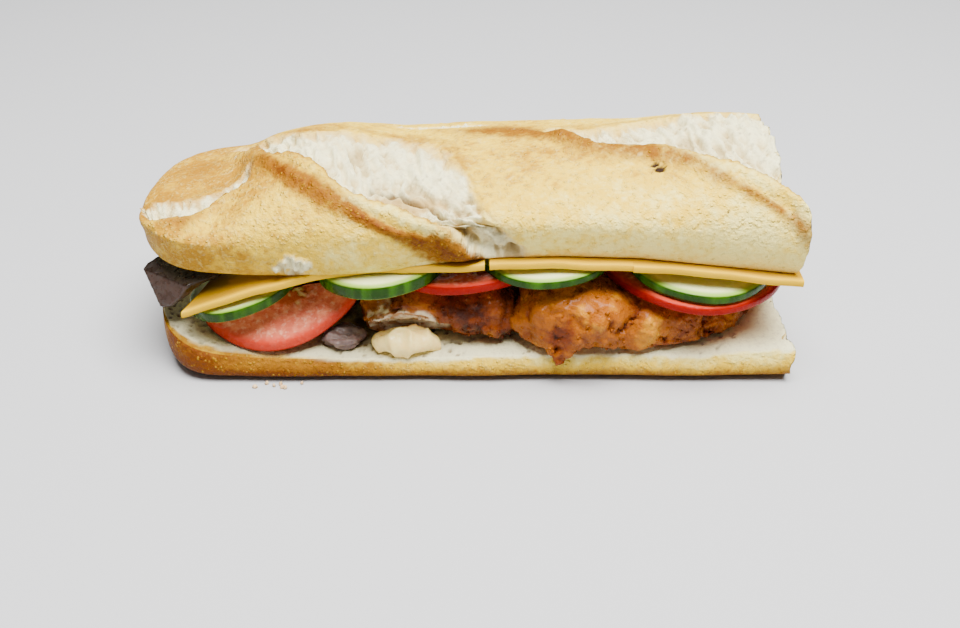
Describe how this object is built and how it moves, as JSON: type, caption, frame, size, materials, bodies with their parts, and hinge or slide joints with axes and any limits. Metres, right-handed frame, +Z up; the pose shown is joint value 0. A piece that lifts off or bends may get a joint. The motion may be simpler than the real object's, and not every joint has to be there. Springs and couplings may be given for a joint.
{
  "type": "escalope sandwich",
  "caption": "Filled half baguette, open at the front: battered chicken escalope, tomato, cucumber, cheese and aubergine between two crusty halves.",
  "frame": {"origin": "middle of the underside, on the surface that it rests on", "axes": "+X along the loaf from its rounded nose to its cut end, +Y from the open front to the back, +Z up"},
  "size_m": [0.2304, 0.0888, 0.0766],
  "materials": {
    "crust": "dry baked crust with torn pale crumb",
    "cheese": "smooth satin cheese",
    "cucumber": "moist slice with dark green skin",
    "tomato": "moist slice with red skin",
    "batter": "fried golden brown coating, slightly oily",
    "aubergine": "grilled dark skin and grey brown flesh",
    "mayonnaise": "soft cream sauce"
  },
  "bodies": {
    "root": {"top_bread": "crust", "bottom_bread": "crust", "cheese_left": "cheese", "cheese_middle": "cheese", "cheese_right": "cheese", "cucumber_front_1": "cucumber", "cucumber_front_2": "cucumber", "cucumber_front_3": "cucumber", "cucumber_front_4": "cucumber", "cucumber_back_1": "cucumber", "cucumber_back_2": "cucumber", "cucumber_back_3": "cucumber", "cucumber_back_4": "cucumber", "tomato_left": "tomato", "tomato_middle": "tomato", "tomato_right": "tomato", "tomato_back": "tomato", "escalope_left": "batter", "escalope_right": "batter", "aubergine_end": "aubergine", "aubergine_under": "aubergine", "aubergine_bit": "aubergine", "mayonnaise": "mayonnaise"}
  },
  "joints": []
}
